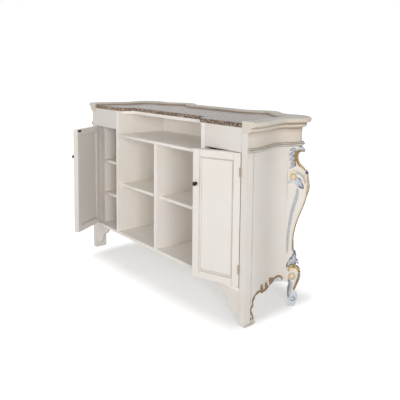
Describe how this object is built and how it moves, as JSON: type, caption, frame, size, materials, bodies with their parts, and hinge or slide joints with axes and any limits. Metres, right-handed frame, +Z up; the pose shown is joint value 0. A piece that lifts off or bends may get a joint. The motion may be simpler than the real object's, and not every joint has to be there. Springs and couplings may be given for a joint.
{
  "type": "home bar counter",
  "caption": "Baroque style home bar counter with a moulded top round a dark marble slab, open shelves, panelled side doors and carved console legs.",
  "frame": {"origin": "on the floor under the middle of the counter's box with its doors as pictured", "axes": "+X along the counter to the right seen from the bartender's side, +Y towards the customers, +Z up"},
  "size_m": [1.7482, 0.8991, 1.1],
  "materials": {
    "ivory_lacquer": "aged ivory lacquer, satin",
    "ivory_frieze": "aged ivory lacquer, brushed",
    "silver_leaf": "silver leaf on wood",
    "gilded_carving": "bronze gold leaf on wood",
    "carved_leg": "ivory lacquer with gilt and silvered carving",
    "brown_marble": "polished brown marble",
    "raw_board": "plain board",
    "dark_bronze": "dark bronze",
    "aged_brass": "aged brass",
    "steel": "nickel plated",
    "brown_plastic": "matt"
  },
  "bodies": {
    "carcass": {"bottom_board": "ivory_lacquer", "centre_divider": "ivory_lacquer", "deck": "ivory_lacquer", "front_carving": "gilded_carving", "front_frieze": "ivory_frieze", "front_panel": "ivory_lacquer", "front_waist_moulding": "silver_leaf", "front_web": "raw_board", "hinge_pins": "steel", "hinge_post_leaves": "aged_brass", "inner_back_panel": "ivory_lacquer", "left_bracket_foot": "ivory_lacquer", "left_cabinet_lower_shelf": "ivory_lacquer", "left_cabinet_side": "ivory_lacquer", "left_cabinet_upper_shelf": "ivory_lacquer", "left_corner_post": "ivory_lacquer", "left_end_carving": "gilded_carving", "left_end_panel": "ivory_lacquer", "left_fascia": "ivory_lacquer", "left_frieze": "ivory_frieze", "left_front_leg": "carved_leg", "left_leg_stile": "ivory_lacquer", "left_middle_shelf": "ivory_lacquer", "left_partition": "ivory_lacquer", "left_waist_moulding": "silver_leaf", "magnetic_catches": "brown_plastic", "marble_top": "brown_marble", "right_bracket_foot": "ivory_lacquer", "right_cabinet_lower_shelf": "ivory_lacquer", "right_cabinet_side": "ivory_lacquer", "right_cabinet_upper_shelf": "ivory_lacquer", "right_corner_post": "ivory_lacquer", "right_end_carving": "gilded_carving", "right_end_panel": "ivory_lacquer", "right_fascia": "ivory_lacquer", "right_frieze": "ivory_frieze", "right_front_leg": "carved_leg", "right_leg_stile": "ivory_lacquer", "right_middle_shelf": "ivory_lacquer", "right_partition": "ivory_lacquer", "right_waist_moulding": "silver_leaf", "shelf_pins": "steel", "top_frame": "ivory_lacquer", "top_shelf": "ivory_lacquer"},
    "left_door": {"left_door_bottom_rail": "ivory_lacquer", "left_door_free_stile": "ivory_lacquer", "left_door_hinge_stile": "ivory_lacquer", "left_door_knob": "dark_bronze", "left_door_panel": "ivory_lacquer", "left_door_strike": "steel", "left_door_top_rail": "ivory_lacquer", "left_hinge_door_leaves": "aged_brass"},
    "right_door": {"right_door_bottom_rail": "ivory_lacquer", "right_door_free_stile": "ivory_lacquer", "right_door_hinge_stile": "ivory_lacquer", "right_door_knob": "dark_bronze", "right_door_panel": "ivory_lacquer", "right_door_strike": "steel", "right_door_top_rail": "ivory_lacquer", "right_hinge_door_leaves": "aged_brass"}
  },
  "joints": [
    {"name": "left_door_hinge", "type": "hinge", "parent": "carcass", "child": "left_door", "pos_m": [-0.777, -0.1978, 0.5695], "axis": [0, 0, -1], "range_deg": [-60, 50]},
    {"name": "right_door_hinge", "type": "hinge", "parent": "carcass", "child": "right_door", "pos_m": [0.777, -0.1978, 0.5695], "axis": [0, 0, 1], "range_deg": [-20, 90]}
  ]
}
